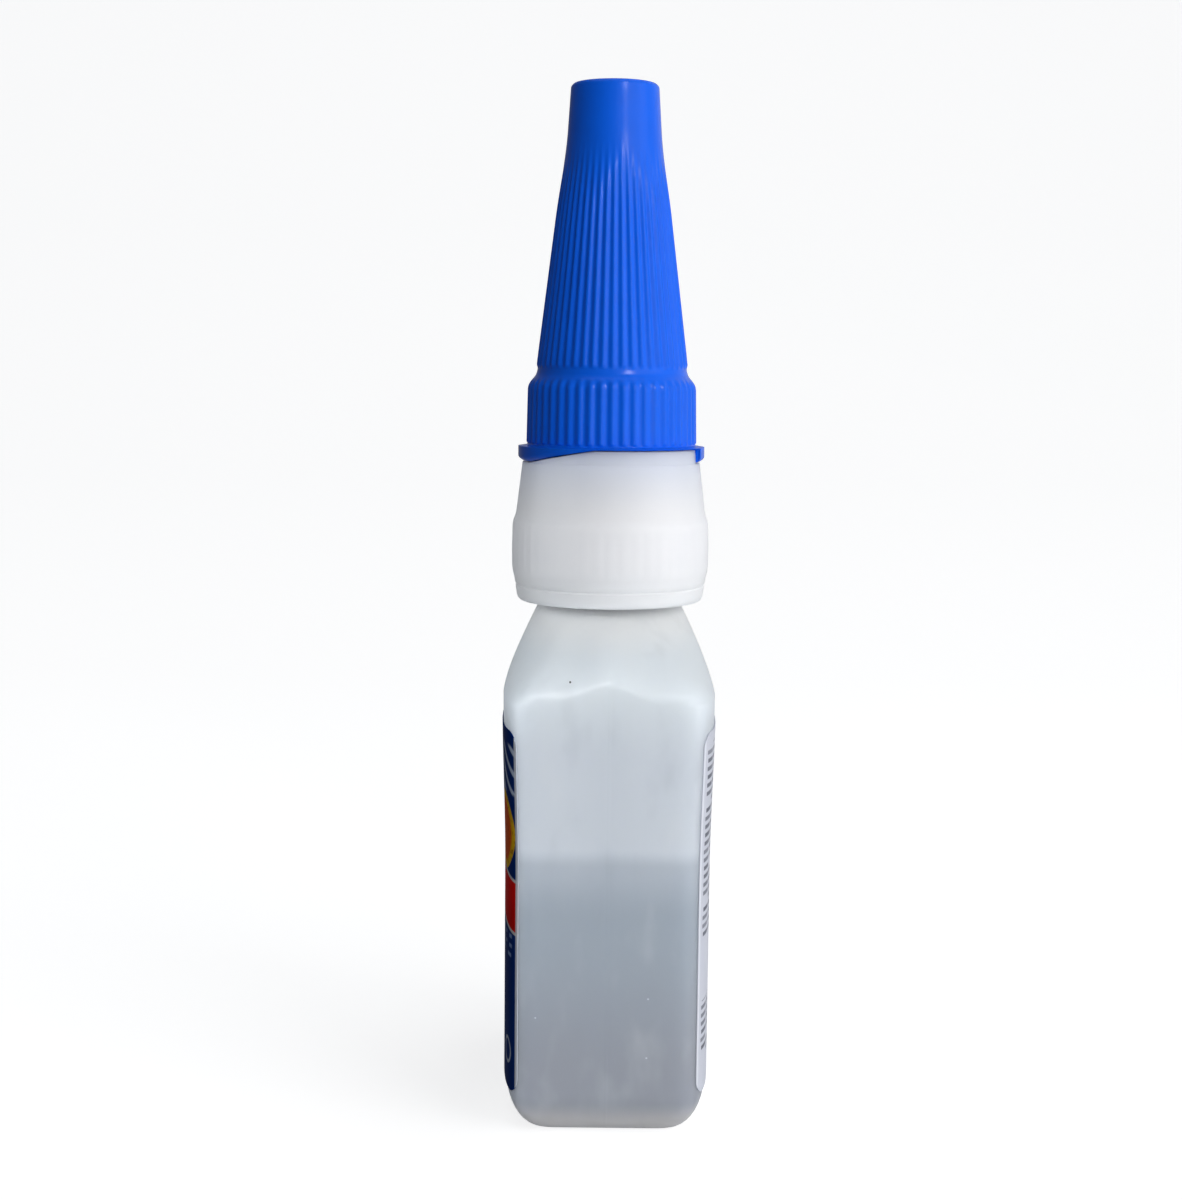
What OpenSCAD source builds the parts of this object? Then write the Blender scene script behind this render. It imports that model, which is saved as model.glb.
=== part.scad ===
// Dropper bottle for thin adhesive: flat-sided squeeze bottle, push-fit nozzle, quick-turn cap.
// Millimetres. +Z is up, the origin is under the middle of the base, the labels face -Y and +Y.

/* [Bottle] */
// Width of the body between its two narrow faces
body_w = 35; // [32:0.5:38]
// Depth of the body between the crowns of its two label faces
body_d = 22.6; // [22:0.2:25]
// Height at which the shoulder starts
body_h = 46.8; // [44:0.2:52]
// Height of the sloping shoulder
shoulder_h = 9; // [8.6:0.2:11]
// How far each label face swells out just under the shoulder
swell = 0.4; // [0:0.1:0.6]
// Thickness of the blown wall
wall = 1; // [0.8:0.1:1.2]
// Outer radius of the neck
neck_r = 7.6; // [7.5:0.05:7.65]

/* [Contents and labels] */
// Height of the liquid's surface
fill_z = 30.8; // [12:0.2:42]
// Height of each label
label_h = 39.9; // [20:0.5:40]
// Half width of the front label
front_half_w = 16.7; // [10:0.1:16.8]
// Half width of the back label
back_half_w = 16.3; // [10:0.1:16.8]

/* [Nozzle] */
// Radius of the knurled grip band
band_r = 11.05; // [10.9:0.05:11.5]
// Height of the collar, from its lower edge to the seat of the cap
collar_h = 15.5; // [15:0.5:17]
// Height of the spout's tip above the seat
spout_h = 33.5; // [30:0.5:34]
// Radius of the hole at the tip
orifice_r = 0.6; // [0.45:0.05:0.8]

/* [Cap] */
// Height of the cap above the seat
cap_h = 41.3; // [41.3:0.5:44]
// Radius of the cap's top
cap_top_r = 4.85; // [4.7:0.05:5.5]
// Radius at the foot of the cap's cone
cone_r = 8.35; // [8.2:0.05:8.6]
// Radius of the skirt
skirt_r = 9.3; // [9.2:0.05:9.5]
// Radius of the flange at the rim
flange_r = 10.4; // [10.2:0.1:10.8]
// Number of grip ribs on the cone, on the skirt and on the collar
rib_count = 48; // [36:4:60]
// Height of a grip rib
rib_h = 0.16; // [0.05:0.01:0.2]

/* [Thread and saw-tooth rim] */
// Axial travel of the cap in one turn
lead = 10; // [10:1:14]
// Number of thread starts
starts = 2; // [1:1:2]
// Height of the two saw-teeth where cap and collar meet
tooth_h = 1.5; // [0.5:0.1:1.5]

/* [Hidden] */
$fn = 96;
eps = 0.01;

// Levels, from the table upwards
z_neck = body_h + shoulder_h;
z_collar = z_neck + 0.4;
z_seat = z_collar + collar_h;
z_neck_top = z_seat - 1.8;
z_boss_top = z_seat + 8.8;
z_tip = z_seat + spout_h;
z_cap_top = z_seat + cap_h;
z_skirt_top = z_seat + 9.2;
z_cone = z_skirt_top + 0.95;
z_rib_end = z_cap_top - 6.4;
z_socket = z_tip + 5.7;

// Bottle shape
sides = 64;
base_inset = 3.2;
base_round_h = 5;
push_up = 0.6;
swell_z = 28;
side_crown = 2.6;
face_crown = 12;
// How much higher the shoulder starts on the narrow faces than on the label faces
side_delay = 1.4;
neck_foot_r = 8;
neck_bore_r = 6.3;

// Label shape
label_z = 4.4;
label_t = 0.1;
label_round = 2.6;
label_gap = 0.04;

// Clearances. The steep walls of cap and seat stand wall_turn degrees apart.
rim_gap = 0.12;
wall_turn = 0.6;
seal_gap = 0.1;

// Cap, seat and boss shape
seat_r = 9.9;
boss_r = 6.7;
thread_r = 7.45;
cavity_r = 8.05;
cavity_thread_r = 7.15;
socket_r = 3.2;
pin_r = 0.35;
// The cap's rim, from its inner edge out to the flange
rim_r = 7.9;
rim_bevel = 0.45;
flange_h = 0.6;
rim_lip = 0.05;
wall_index = 19;
low_span = 41;
ramp_span = 57;

function mix(u, v, t) = u + (v - u) * t;
function clamp01(t) = min(1, max(0, t));
function ease(t) = let (u = clamp01(t)) u * u * (3 - 2 * u);

// One closed solid through rings of equal point counts. The points of each ring run
// anticlockwise when seen from the end of the list, and both end rings are flat.
module loft(rings) {
    n = len(rings[0]);
    last = (len(rings) - 1) * n;
    points = [for (ring = rings) each ring];
    skin = [for (i = [0 : len(rings) - 2], j = [0 : n - 1])
        let (a = i * n + j, b = i * n + (j + 1) % n)
        each [[a, a + n, b + n], [a, b + n, b]]];
    ends = [[for (j = [0 : n - 1]) j], [for (j = [n - 1 : -1 : 0]) last + j]];
    polyhedron(points, concat(skin, ends));
}

// ---- Bottle ----

// A cross-section: rounded oblong with crowned label faces, or a circle when both powers are 2
function section(z, a, b, p, q) = [for (i = [0 : sides - 1])
    let (c = cos(360 * i / sides), s = sin(360 * i / sides))
    [a * sign(c) * pow(abs(c), 2 / p), b * sign(s) * pow(abs(s), 2 / q), z]];

function half_depth(z) = body_d / 2 + swell * ease((z - swell_z) / (body_h - swell_z));

// Section of the bottle at height z, drawn in by inset all round
function bottle_section(z, inset = 0) =
    let (
        up = clamp01((z - body_h) / shoulder_h),
        side_up = clamp01((z - body_h - side_delay) / (shoulder_h - side_delay)),
        low = clamp01(1 - z / base_round_h),
        tuck = base_inset * (1 - sqrt(1 - low * low)),
        a = mix(body_w / 2, neck_foot_r, pow(side_up, 1.2)) - tuck - inset,
        b = mix(half_depth(min(z, body_h)), neck_foot_r, pow(up, 1.2)) - tuck - inset
    )
    section(z, a, b, mix(side_crown, 2, up), 2 + (face_crown - 2) * pow(1 - up, 3));

function lifted(ring, z) = [for (p = ring) [p.x, p.y, z]];
function shrunk(ring, k, z) = [for (p = ring) [p.x * k, p.y * k, z]];
function circle_ring(r, z) = section(z, r, r, 2, 2);

base_steps = [for (i = [0 : 5]) base_round_h * (1 - cos(18 * i))];
body_steps = [for (i = [1 : 6]) mix(swell_z, body_h, i / 6)];
shoulder_steps = [for (i = [1 : 8]) body_h + shoulder_h * i / 8];
heights = concat(base_steps, body_steps, shoulder_steps);

module bottle() {
    outer = [for (z = heights) bottle_section(z)];
    floor_z = push_up + wall;
    inner = [for (i = [len(heights) - 1 : -1 : 1])
        bottle_section(max(heights[i], floor_z + 0.4), wall)];
    neck = [
        circle_ring(neck_r, z_neck + 0.8),
        circle_ring(neck_r, z_neck + 3.9),
        circle_ring(neck_r + 0.8, z_neck + 4.3),
        circle_ring(neck_r + 0.8, z_neck + 4.7),
        circle_ring(neck_r, z_neck + 5.9),
        circle_ring(neck_r, z_neck_top - 0.3),
        circle_ring(neck_r - 0.3, z_neck_top),
        circle_ring(neck_bore_r, z_neck_top),
        circle_ring(neck_bore_r, z_neck + 0.8)
    ];
    color([0.86, 0.89, 0.93, 0.8]) loft(concat(
        [shrunk(outer[0], 0.8, push_up), shrunk(outer[0], 0.9, 0)],
        outer, neck, inner,
        [lifted(bottle_section(floor_z + 0.4, wall + 1), floor_z)]
    ));
}

module glue_fill() {
    gap = 0.05;
    floor_z = push_up + wall;
    foot = [for (z = heights) if (z > floor_z + 0.5 && z < fill_z - 0.5) z];
    color([0.62, 0.67, 0.73]) loft(concat(
        [lifted(bottle_section(floor_z + 0.4, wall + gap + 1), floor_z + gap)],
        [bottle_section(floor_z + 0.45, wall + gap)],
        [for (z = foot) bottle_section(z, wall + gap)],
        [bottle_section(fill_z, wall + gap)]
    ));
}

// ---- Labels ----

// Depth of the bottle's label face at a given x and z
function face_y(x, z) = half_depth(z) * pow(1 - pow(abs(x) / (body_w / 2), side_crown), 1 / face_crown);

// Half width of a label at height z, drawn in at both ends to round its corners
function label_half_at(z, half_w) =
    let (u = max(0, label_round - min(z - label_z, label_z + label_h - z)))
    half_w - label_round + sqrt(max(0, label_round * label_round - u * u));

// A thin sheet that follows the crowned face on the +Y side. Its columns lie closer together at its ends.
module label_sheet(half_w) {
    cols = 32;
    bend = 75;
    round_steps = [for (i = [0 : 5]) label_round * (1 - cos(18 * i))];
    levels = concat(
        [for (h = round_steps) label_z + h],
        [for (i = [1 : 7]) label_z + mix(label_round, label_h - label_round, i / 8)],
        [for (i = [5 : -1 : 0]) label_z + label_h - round_steps[i]]
    );
    function row(z, out, way) = [for (i = [-cols : 2 : cols])
        let (x = way * label_half_at(z, half_w) * sin(bend * i / cols) / sin(bend)) [x, face_y(x, z) + out, z]];
    loft([for (z = levels) concat(row(z, label_gap + label_t, -1), row(z, label_gap, 1))]);
}

module front_label() {
    color([0.02, 0.1, 0.33]) rotate(180) label_sheet(front_half_w);
}

module back_label() {
    color([0.85, 0.86, 0.9]) label_sheet(back_half_w);
}

// ---- Thread and rim shared by nozzle and cap ----

// One thread ridge from radius root_r to crest_r, rising anticlockwise and fading at both ends
module ridge(root_r, crest_r, root_w, crest_w, z0, turn0, sweep) {
    step = 10;
    fade = 20;
    loft([for (t = [0 : step : sweep])
        let (
            k = 0.05 + 0.95 * min(1, t / fade, (sweep - t) / fade),
            r = mix(root_r, crest_r, k),
            w = mix(root_w, crest_w, k) / 2,
            z = z0 + lead * t / 360,
            big_first = crest_r > root_r,
            far_r = big_first ? r : root_r,
            far_w = big_first ? w : root_w / 2,
            near_r = big_first ? root_r : r,
            near_w = big_first ? root_w / 2 : w,
            c = cos(turn0 + t),
            s = sin(turn0 + t)
        )
        [
            [far_r * c, far_r * s, z - far_w],
            [near_r * c, near_r * s, z - near_w],
            [near_r * c, near_r * s, z + near_w],
            [far_r * c, far_r * s, z + far_w]
        ]]);
}

// Share of the tooth's height at t degrees: low, then a ramp, then high up to the steep wall
wall_angle = wall_index * 180 / rib_count;
function tooth(t) =
    let (u = (t - wall_angle + 720) % 180)
    clamp01((u - low_span) / ramp_span);

// Angles of a ribbed ring. Each steep wall is turned back by some degrees and has an extra angle beside it.
function ring_angles(back = 0) = [for (h = [0, 180], j = [0 : rib_count - 1])
    let (t = h + j * 180 / rib_count)
    each j == wall_index ? [t - back - 0.3, t - back] : [t]];

// ---- Nozzle ----

module knurl_band() {
    translate([0, 0, z_collar + 2.7])
    linear_extrude(6.5)
    polygon([for (i = [0 : 2 * rib_count - 1])
        let (r = band_r - (i % 2) * rib_h, t = 180 * i / rib_count)
        [r * cos(t), r * sin(t)]]);
}

module nozzle_outline() {
    polygon([
        [0, z_collar],
        [band_r - 0.95, z_collar],
        [band_r - 0.6, z_collar + 0.3],
        [band_r - 0.5, z_collar + 1.5],
        [band_r - 0.68, z_collar + 1.7],
        [band_r - 0.48, z_collar + 1.9],
        [band_r - 0.35, z_collar + 2.7],
        [band_r - 0.35, z_collar + 9.3],
        [band_r - 0.6, z_collar + 9.5],
        [seat_r, z_seat],
        [boss_r, z_seat],
        [boss_r, z_boss_top - 0.5],
        [boss_r - 0.5, z_boss_top],
        [4.6, z_boss_top + 0.3],
        [3.6, z_boss_top + 2.5],
        [1.9, z_tip - 2.2],
        [1.7, z_tip - 0.3],
        [1.4, z_tip],
        [0, z_tip]
    ]);
}

module nozzle_hollow() {
    plug_r = neck_bore_r - 0.05;
    plug_foot = z_neck_top - 5.5;
    socket_top = z_neck_top + 0.15;
    // Annular room for the bottle's neck, with a lip under its bead
    polygon([
        [0, z_collar - 1],
        [8.9, z_collar - 1],
        [8.9, z_collar + 2.3],
        [neck_r + 0.12, z_collar + 2.7],
        [neck_r + 0.12, z_collar + 3.2],
        [8.9, z_collar + 3.7],
        [8.9, socket_top],
        [plug_r, socket_top],
        [plug_r, plug_foot + 0.4],
        [plug_r - 0.4, plug_foot],
        [0, plug_foot]
    ]);
    // Passage for the adhesive, narrowing to the orifice
    polygon([
        [0, plug_foot - 1],
        [5.1, plug_foot - 1],
        [5.1, z_boss_top - 1.8],
        [3, z_boss_top],
        [0.9, z_tip - 8],
        [orifice_r, z_tip - 3],
        [orifice_r, z_tip + 1],
        [0, z_tip + 1]
    ]);
}

// Seat of the cap: a ring whose top carries two saw-teeth. Between them it sinks into the collar.
module seat_teeth() {
    sunk = 0.1;
    outer_r = seat_r - 0.06;
    inner_r = 8.5;
    angles = ring_angles(wall_turn);
    function level(t) = z_seat - sunk + (tooth_h + sunk) * tooth(t + wall_turn);
    function crest(r) = [for (t = angles) [r * cos(t), r * sin(t), level(t)]];
    function flat(r, z) = [for (t = angles) [r * cos(t), r * sin(t), z]];
    loft([flat(outer_r, z_seat - 0.8), crest(outer_r), crest(inner_r), flat(inner_r - 0.1, z_seat - 0.5)]);
}

module nozzle() {
    color([0.93, 0.93, 0.95])
    union() {
        difference() {
            union() {
                rotate_extrude() nozzle_outline();
                knurl_band();
                seat_teeth();
            }
            rotate_extrude() nozzle_hollow();
        }
        for (i = [0 : starts - 1])
            ridge(boss_r - 0.3, thread_r, 2, 1, z_seat + 1.6, 20 + i * 360 / starts, 150);
    }
}

// ---- Cap ----

// Rings of the cap's outside: [z, radius, rib height], above the flange
cap_rings = [
    [z_seat + 1.75, flange_r, 0],
    [z_seat + 2, skirt_r + 0.3, 0],
    [z_seat + 2.3, skirt_r, rib_h],
    [z_skirt_top - 1, skirt_r - 0.12, rib_h],
    [z_skirt_top - 0.2, skirt_r - 0.35, rib_h / 2],
    [z_skirt_top + 0.3, cone_r + 0.15, 0],
    [z_cone - 0.2, cone_r, 0],
    [z_cone + 0.3, cone_r - 0.1, rib_h],
    [z_rib_end - 3, cap_top_r + 0.74, rib_h],
    [z_rib_end, cap_top_r + 0.42, 0],
    [z_rib_end + 0.8, cap_top_r + 0.34, 0],
    [z_cap_top - 0.6, cap_top_r, 0],
    [z_cap_top - 0.2, cap_top_r - 0.2, 0],
    [z_cap_top, cap_top_r - 0.6, 0]
];

module cap_outside() {
    angles = ring_angles();
    rim_z = z_seat + rim_gap;
    core_r = 7;
    function ribbed(z, r, h) = [for (t = angles)
        let (k = r + h * (0.5 + 0.5 * cos(t * rib_count)))
        [k * cos(t), k * sin(t), z]];
    function rim(r, r_high, lift) = [for (t = angles)
        let (u = tooth(t), k = mix(r, r_high, u))
        [k * cos(t), k * sin(t), max(lift, rim_z + tooth_h * u + (lift > 0 ? rim_lip : 0))]];
    loft(concat(
        [ribbed(z_seat + 3, core_r, 0), rim(rim_r, rim_r, 0), rim(flange_r - rim_bevel, flange_r - 0.05, 0)],
        [rim(flange_r, flange_r, z_seat + flange_h)],
        [for (ring = cap_rings) ribbed(ring[0], ring[1], ring[2])]
    ));
}

module cap_cavity() {
    polygon([
        [0, z_seat - 1],
        [cavity_r, z_seat - 1],
        [cavity_r, z_boss_top + 0.4],
        [cavity_r - 1.1, z_boss_top + 1.4],
        [3.9, z_tip - 0.7],
        [socket_r, z_tip - 0.3],
        [socket_r - 0.3, z_tip + 0.2],
        [socket_r - 0.3, z_tip + 0.6],
        [socket_r, z_tip + 0.9],
        [socket_r, z_socket],
        [0, z_socket]
    ]);
}

module cap() {
    color([0.03, 0.27, 0.79])
    union() {
        difference() {
            cap_outside();
            rotate_extrude() cap_cavity();
        }
        for (i = [0 : starts - 1])
            ridge(cavity_r + 0.3, cavity_thread_r, 2, 1, z_seat + 3.2, 122 + i * 360 / starts, 100);
    }
}

// ---- Seal and pin inside the cap ----

module tip_seal() {
    r = socket_r - seal_gap;
    waist = socket_r - 0.3 - seal_gap;
    cup_r = 2.2;
    color([0.95, 0.95, 0.93])
    rotate_extrude()
    polygon([
        [pin_r + eps, z_tip + 0.1],
        [cup_r - 0.3, z_tip + 0.1],
        [cup_r, z_tip - 0.4],
        [cup_r, z_tip - 2],
        [waist, z_tip - 2],
        [waist, z_tip + 0.8],
        [r, z_tip + 1.1],
        [r, z_socket - 0.4],
        [r - 0.3, z_socket - seal_gap],
        [pin_r + eps, z_socket - seal_gap]
    ]);
}

module sealing_pin() {
    point = 0.8;
    foot = z_tip - 6.5;
    color([0.75, 0.76, 0.78])
    rotate_extrude()
    polygon([
        [0, foot],
        [0.12, foot],
        [pin_r, foot + point],
        [pin_r, z_socket - 1],
        [0, z_socket - 1]
    ]);
}

bottle();
nozzle();
cap();
tip_seal();
sealing_pin();
front_label();
back_label();
glue_fill();
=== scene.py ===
import math

import bmesh
import bpy
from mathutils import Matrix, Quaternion, Vector


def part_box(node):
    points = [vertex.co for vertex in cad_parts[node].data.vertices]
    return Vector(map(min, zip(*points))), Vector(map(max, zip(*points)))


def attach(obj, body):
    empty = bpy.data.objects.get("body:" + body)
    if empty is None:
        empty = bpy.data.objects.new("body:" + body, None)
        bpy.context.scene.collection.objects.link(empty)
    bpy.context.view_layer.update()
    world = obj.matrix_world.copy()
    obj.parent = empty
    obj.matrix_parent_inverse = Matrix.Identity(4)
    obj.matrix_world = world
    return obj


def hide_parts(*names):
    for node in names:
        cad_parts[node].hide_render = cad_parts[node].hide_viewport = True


bl_info = {
    "name": "Thin Adhesive Bottle",
    "version": (1, 0, 0),
    "blender": (4, 5, 0),
    "location": "View3D > Sidebar > Adhesive Bottle",
    "description": "Flat-sided squeeze bottle with a knurled collar, a ribbed cone cap and two labels",
    "category": "Object",
}

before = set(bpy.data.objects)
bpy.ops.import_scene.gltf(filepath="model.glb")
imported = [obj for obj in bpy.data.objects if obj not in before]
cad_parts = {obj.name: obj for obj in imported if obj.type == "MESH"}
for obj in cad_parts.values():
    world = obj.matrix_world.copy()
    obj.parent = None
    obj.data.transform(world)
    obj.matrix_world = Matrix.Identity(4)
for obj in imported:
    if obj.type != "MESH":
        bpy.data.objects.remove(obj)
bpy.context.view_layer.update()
MM = 0.001
SWELL_START = 28.0
ARCH_TURN = 17.0
FLOOR_RISE = 0.6
LABEL_LIFT = 0.13
COLLAR_HEIGHT = 15.5


def millimetres(node):
    """Lowest and highest corner of a CAD node, in millimetres."""
    low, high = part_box(node)
    return low / MM, high / MM


BOTTLE_LOW, BOTTLE_HIGH = millimetres("bottle")
NOZZLE_LOW, NOZZLE_HIGH = millimetres("nozzle")
CAP_LOW, CAP_HIGH = millimetres("cap")
FRONT_LOW, FRONT_HIGH = millimetres("front_label")
BACK_LOW, BACK_HIGH = millimetres("back_label")
GLUE_LOW, GLUE_HIGH = millimetres("glue_fill")


# ---- Sizes and colours that a user would change ----


def length(name, description, default):
    """A length property. Its default is given in millimetres."""
    return bpy.props.FloatProperty(
        name=name,
        description=description,
        default=default * MM,
        min=0.0,
        precision=5,
        unit="LENGTH",
    )


def share(name, description, default):
    """A property that runs from 0 to 1."""
    return bpy.props.FloatProperty(
        name=name, description=description, default=default, min=0.0, max=1.0, subtype="FACTOR"
    )


def shade(name, description, default):
    """A colour property."""
    return bpy.props.FloatVectorProperty(
        name=name, description=description, default=default, size=3, min=0.0, max=1.0, subtype="COLOR"
    )


class BottleSizes(bpy.types.PropertyGroup):
    width: length("Width", "Across the two narrow faces", BOTTLE_HIGH.x - BOTTLE_LOW.x)
    depth: length("Depth", "Across the label faces, low on the body", 22.6)
    swell: length("Swell", "How far each label face swells out under the shoulder", 0.4)
    shoulder_start: length("Shoulder start", "Height at which the shoulder starts", 46.8)
    shoulder_height: length("Shoulder height", "Height of the sloping shoulder", 9.0)
    arch: length("Arch", "Rise and dip of the shoulder's lower edge on the narrow faces", 0.8)
    wall: length("Wall", "Thickness of the blown wall", 1.0)
    neck_radius: length("Neck radius", "Outer radius of the neck", 7.6)
    level: length("Level", "Height of the adhesive inside", GLUE_HIGH.z)
    segments: bpy.props.IntProperty(
        name="Segments", description="Points around the body", default=384, min=96, max=768
    )


class NozzleSizes(bpy.types.PropertyGroup):
    band_radius: length("Band radius", "Radius over the ribs of the grip band", NOZZLE_HIGH.x)
    seat_radius: length("Seat radius", "Radius of the collar where the cap meets it", 9.9)
    boss_radius: length("Boss radius", "Root radius of the threaded boss", 6.7)
    thread_radius: length("Thread radius", "Crest radius of the outer thread", 7.45)
    hole_radius: length("Hole radius", "Radius of the hole in the spout's tip", 0.6)
    rib_height: length("Rib height", "Height of the ribs of the grip band", 0.03)


class CapSizes(bpy.types.PropertyGroup):
    flange_radius: length("Flange radius", "Radius of the flange at the rim", CAP_HIGH.x)
    skirt_radius: length("Skirt radius", "Radius of the ribbed skirt", 9.3)
    cone_radius: length("Cone radius", "Radius at the foot of the cone", 8.35)
    top_radius: length("Top radius", "Radius at the cap's top", 4.85)
    rib_height: length("Rib height", "Height of the grip ribs", 0.2)
    tooth_height: length("Tooth height", "Height of the two saw-teeth of the rim", 1.5)
    lead: length("Lead", "Rise of the thread in one turn", 10.0)
    ribs: bpy.props.IntProperty(
        name="Ribs", description="Grip ribs around the cap and the collar", default=48, min=24, max=96
    )


class LabelSizes(bpy.types.PropertyGroup):
    front_half: length("Front half width", "Half the width of the front label", FRONT_HIGH.x)
    back_half: length("Back half width", "Half the width of the back label", BACK_HIGH.x + 0.2)
    low: length("Lower edge", "Height of a label's lower edge", BACK_LOW.z)
    high: length("Upper edge", "Height of a label's upper edge", BACK_HIGH.z - 0.4)
    corner: length("Corner radius", "Radius of a label's corners", 1.6)
    thickness: length("Thickness", "Thickness of the label film", 0.1)
    row_pitch: length("Row pitch", "Distance between the rows of dashes on the back", 0.9)


class BottleLooks(bpy.types.PropertyGroup):
    clear: shade("Empty wall", "Bottle wall above the adhesive", (0.63, 0.69, 0.80))
    filled: shade("Filled wall", "Bottle wall just under the adhesive's level", (0.35, 0.40, 0.47))
    deep: shade("Foot of the wall", "Bottle wall near the base", (0.31, 0.33, 0.38))
    # Painted light: the shoulder is painted lighter than the empty wall below it.
    shoulder: shade("Shoulder", "Bottle wall on the shoulder", (0.77, 0.86, 0.96))
    milky: shade("Nozzle", "Milky moulding of the nozzle", (0.89, 0.89, 0.92))
    blue: shade("Cap", "Moulded cap", (0.002, 0.115, 0.78))
    navy: shade("Front ground", "Ground colour of the front label", (0.001, 0.024, 0.16))
    red: shade("Front band", "Band across the front label", (0.75, 0.004, 0.003))
    orange: shade("Front disc", "Middle of the disc on the front label", (0.75, 0.10, 0.006))
    yellow: shade("Front disc, rim", "Rim of the disc on the front label", (0.80, 0.46, 0.01))
    paper: shade("Back ground", "Ground colour of the back label", (0.54, 0.555, 0.62))
    ink: shade("Back dashes", "Colour of the dashes on the back label", (0.05, 0.055, 0.085))
    floor: shade("Floor", "Studio floor and backdrop", (0.50, 0.50, 0.50))
    satin: share("Bottle roughness", "Roughness of the blown wall", 0.35)
    gloss: share("Cap roughness", "Roughness of the cap", 0.22)


class AdhesiveBottle(bpy.types.PropertyGroup):
    bottle: bpy.props.PointerProperty(type=BottleSizes, name="Bottle")
    nozzle: bpy.props.PointerProperty(type=NozzleSizes, name="Nozzle")
    cap: bpy.props.PointerProperty(type=CapSizes, name="Cap")
    label: bpy.props.PointerProperty(type=LabelSizes, name="Labels")
    looks: bpy.props.PointerProperty(type=BottleLooks, name="Looks")


class InMillimetres:
    """Reads a property group's lengths in millimetres."""

    def __init__(self, group):
        self.group = group

    def __getattr__(self, name):
        value = getattr(self.group, name)
        if isinstance(value, float):
            return value / MM
        return value


# ---- Small sums ----


def clamp(value):
    return min(1.0, max(0.0, value))


def blend(a, b, t):
    return a + (b - a) * t


def ease(t):
    t = clamp(t)
    return t * t * (3.0 - 2.0 * t)


def angle_of(point):
    return math.degrees(math.atan2(point.y, point.x))


# ---- Mesh helpers, all in millimetres until a piece is finished ----


def rounded(points, sizes):
    """The outline with the corners named in sizes, {index: radius}, replaced by short curves."""
    line = []
    for index, point in enumerate(points):
        here = Vector(point)
        size = sizes.get(index, 0.0)
        if size == 0.0 or index in (0, len(points) - 1):
            line.append(here)
            continue
        before = Vector(points[index - 1]) - here
        after = Vector(points[index + 1]) - here
        start = here + before.normalized() * min(size, before.length * 0.48)
        end = here + after.normalized() * min(size, after.length * 0.48)
        for step in range(5):
            t = step / 4
            line.append(start * (1 - t) ** 2 + here * 2 * t * (1 - t) + end * t * t)
    return line


def dense(points, longest):
    """The outline with points added so that no stretch is longer than longest."""
    line = [Vector(points[0])]
    for point in points[1:]:
        start = line[-1]
        end = Vector(point)
        count = max(1, math.ceil((end - start).length / longest))
        for step in range(1, count + 1):
            line.append(start.lerp(end, step / count))
    return line


def spin_outline(bm, points, sectors, steps, closed):
    """Turns an outline of (radius, height) points once about the Z axis, as a sector and its copies."""
    verts = [bm.verts.new((point[0], 0.0, point[1])) for point in points]
    followers = verts[1:] + verts[:1] if closed else verts[1:]
    edges = [bm.edges.new(pair) for pair in zip(verts, followers)]
    about = {"cent": (0.0, 0.0, 0.0), "axis": (0.0, 0.0, 1.0), "dvec": (0.0, 0.0, 0.0)}
    sector = math.tau / sectors
    bmesh.ops.spin(bm, geom=verts + edges, angle=sector, steps=steps, use_merge=False, **about)
    bmesh.ops.spin(
        bm,
        geom=bm.verts[:] + bm.edges[:] + bm.faces[:],
        angle=sector * (sectors - 1),
        steps=sectors - 1,
        use_duplicate=True,
        **about,
    )
    bmesh.ops.remove_doubles(bm, verts=bm.verts[:], dist=0.0005)


def stack_rings(bm, segments, rings):
    """Skins a stack of closed rings. Each ring is a function from an angle to a point."""
    bmesh.ops.create_circle(bm, segments=segments, radius=1.0)
    verts = bm.verts[:]
    edges = bm.edges[:]
    bmesh.ops.contextual_create(bm, geom=edges)
    for index, ring in enumerate(rings):
        if index:
            made = bmesh.ops.extrude_edge_only(bm, edges=edges)["geom"]
            verts = [item for item in made if isinstance(item, bmesh.types.BMVert)]
            known = set(verts)
            edges = [
                item
                for item in made
                if isinstance(item, bmesh.types.BMEdge) and known.issuperset(item.verts)
            ]
        for vert in verts:
            vert.co = ring(angle_of(vert.co))
    bmesh.ops.contextual_create(bm, geom=edges)


def add_thread(bm, outline, root, start, sweep, lead):
    """Adds a thread ridge. Its outline of (radius, height) points fades at both ends towards root."""
    ridge = bmesh.new()
    turn = math.radians(start)
    middle = sum(point[1] for point in outline) / len(outline)
    verts = []
    for radius, height in outline:
        verts.append(ridge.verts.new((radius * math.cos(turn), radius * math.sin(turn), height)))
    face = ridge.faces.new(verts)
    steps = int(sweep / 2)
    bmesh.ops.spin(
        ridge,
        geom=[face] + face.edges[:] + verts,
        cent=(0.0, 0.0, 0.0),
        axis=(0.0, 0.0, 1.0),
        dvec=(0.0, 0.0, lead * sweep / 360 / steps),
        angle=math.radians(sweep),
        steps=steps,
        use_merge=False,
    )
    for vert in ridge.verts:
        along = (angle_of(vert.co) - start + 5) % 360 - 5
        level = middle + lead * along / 360
        keep = 0.05 + 0.95 * clamp(min(along, sweep - along) / 20)
        radius = math.hypot(vert.co.x, vert.co.y)
        moved = blend(root, radius, keep) / radius
        height = blend(level, vert.co.z, blend(0.5, 1.0, keep))
        vert.co = (vert.co.x * moved, vert.co.y * moved, height)
    carrier = bpy.data.meshes.new("thread")
    ridge.to_mesh(carrier)
    ridge.free()
    bm.from_mesh(carrier)
    bpy.data.meshes.remove(carrier)


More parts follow.
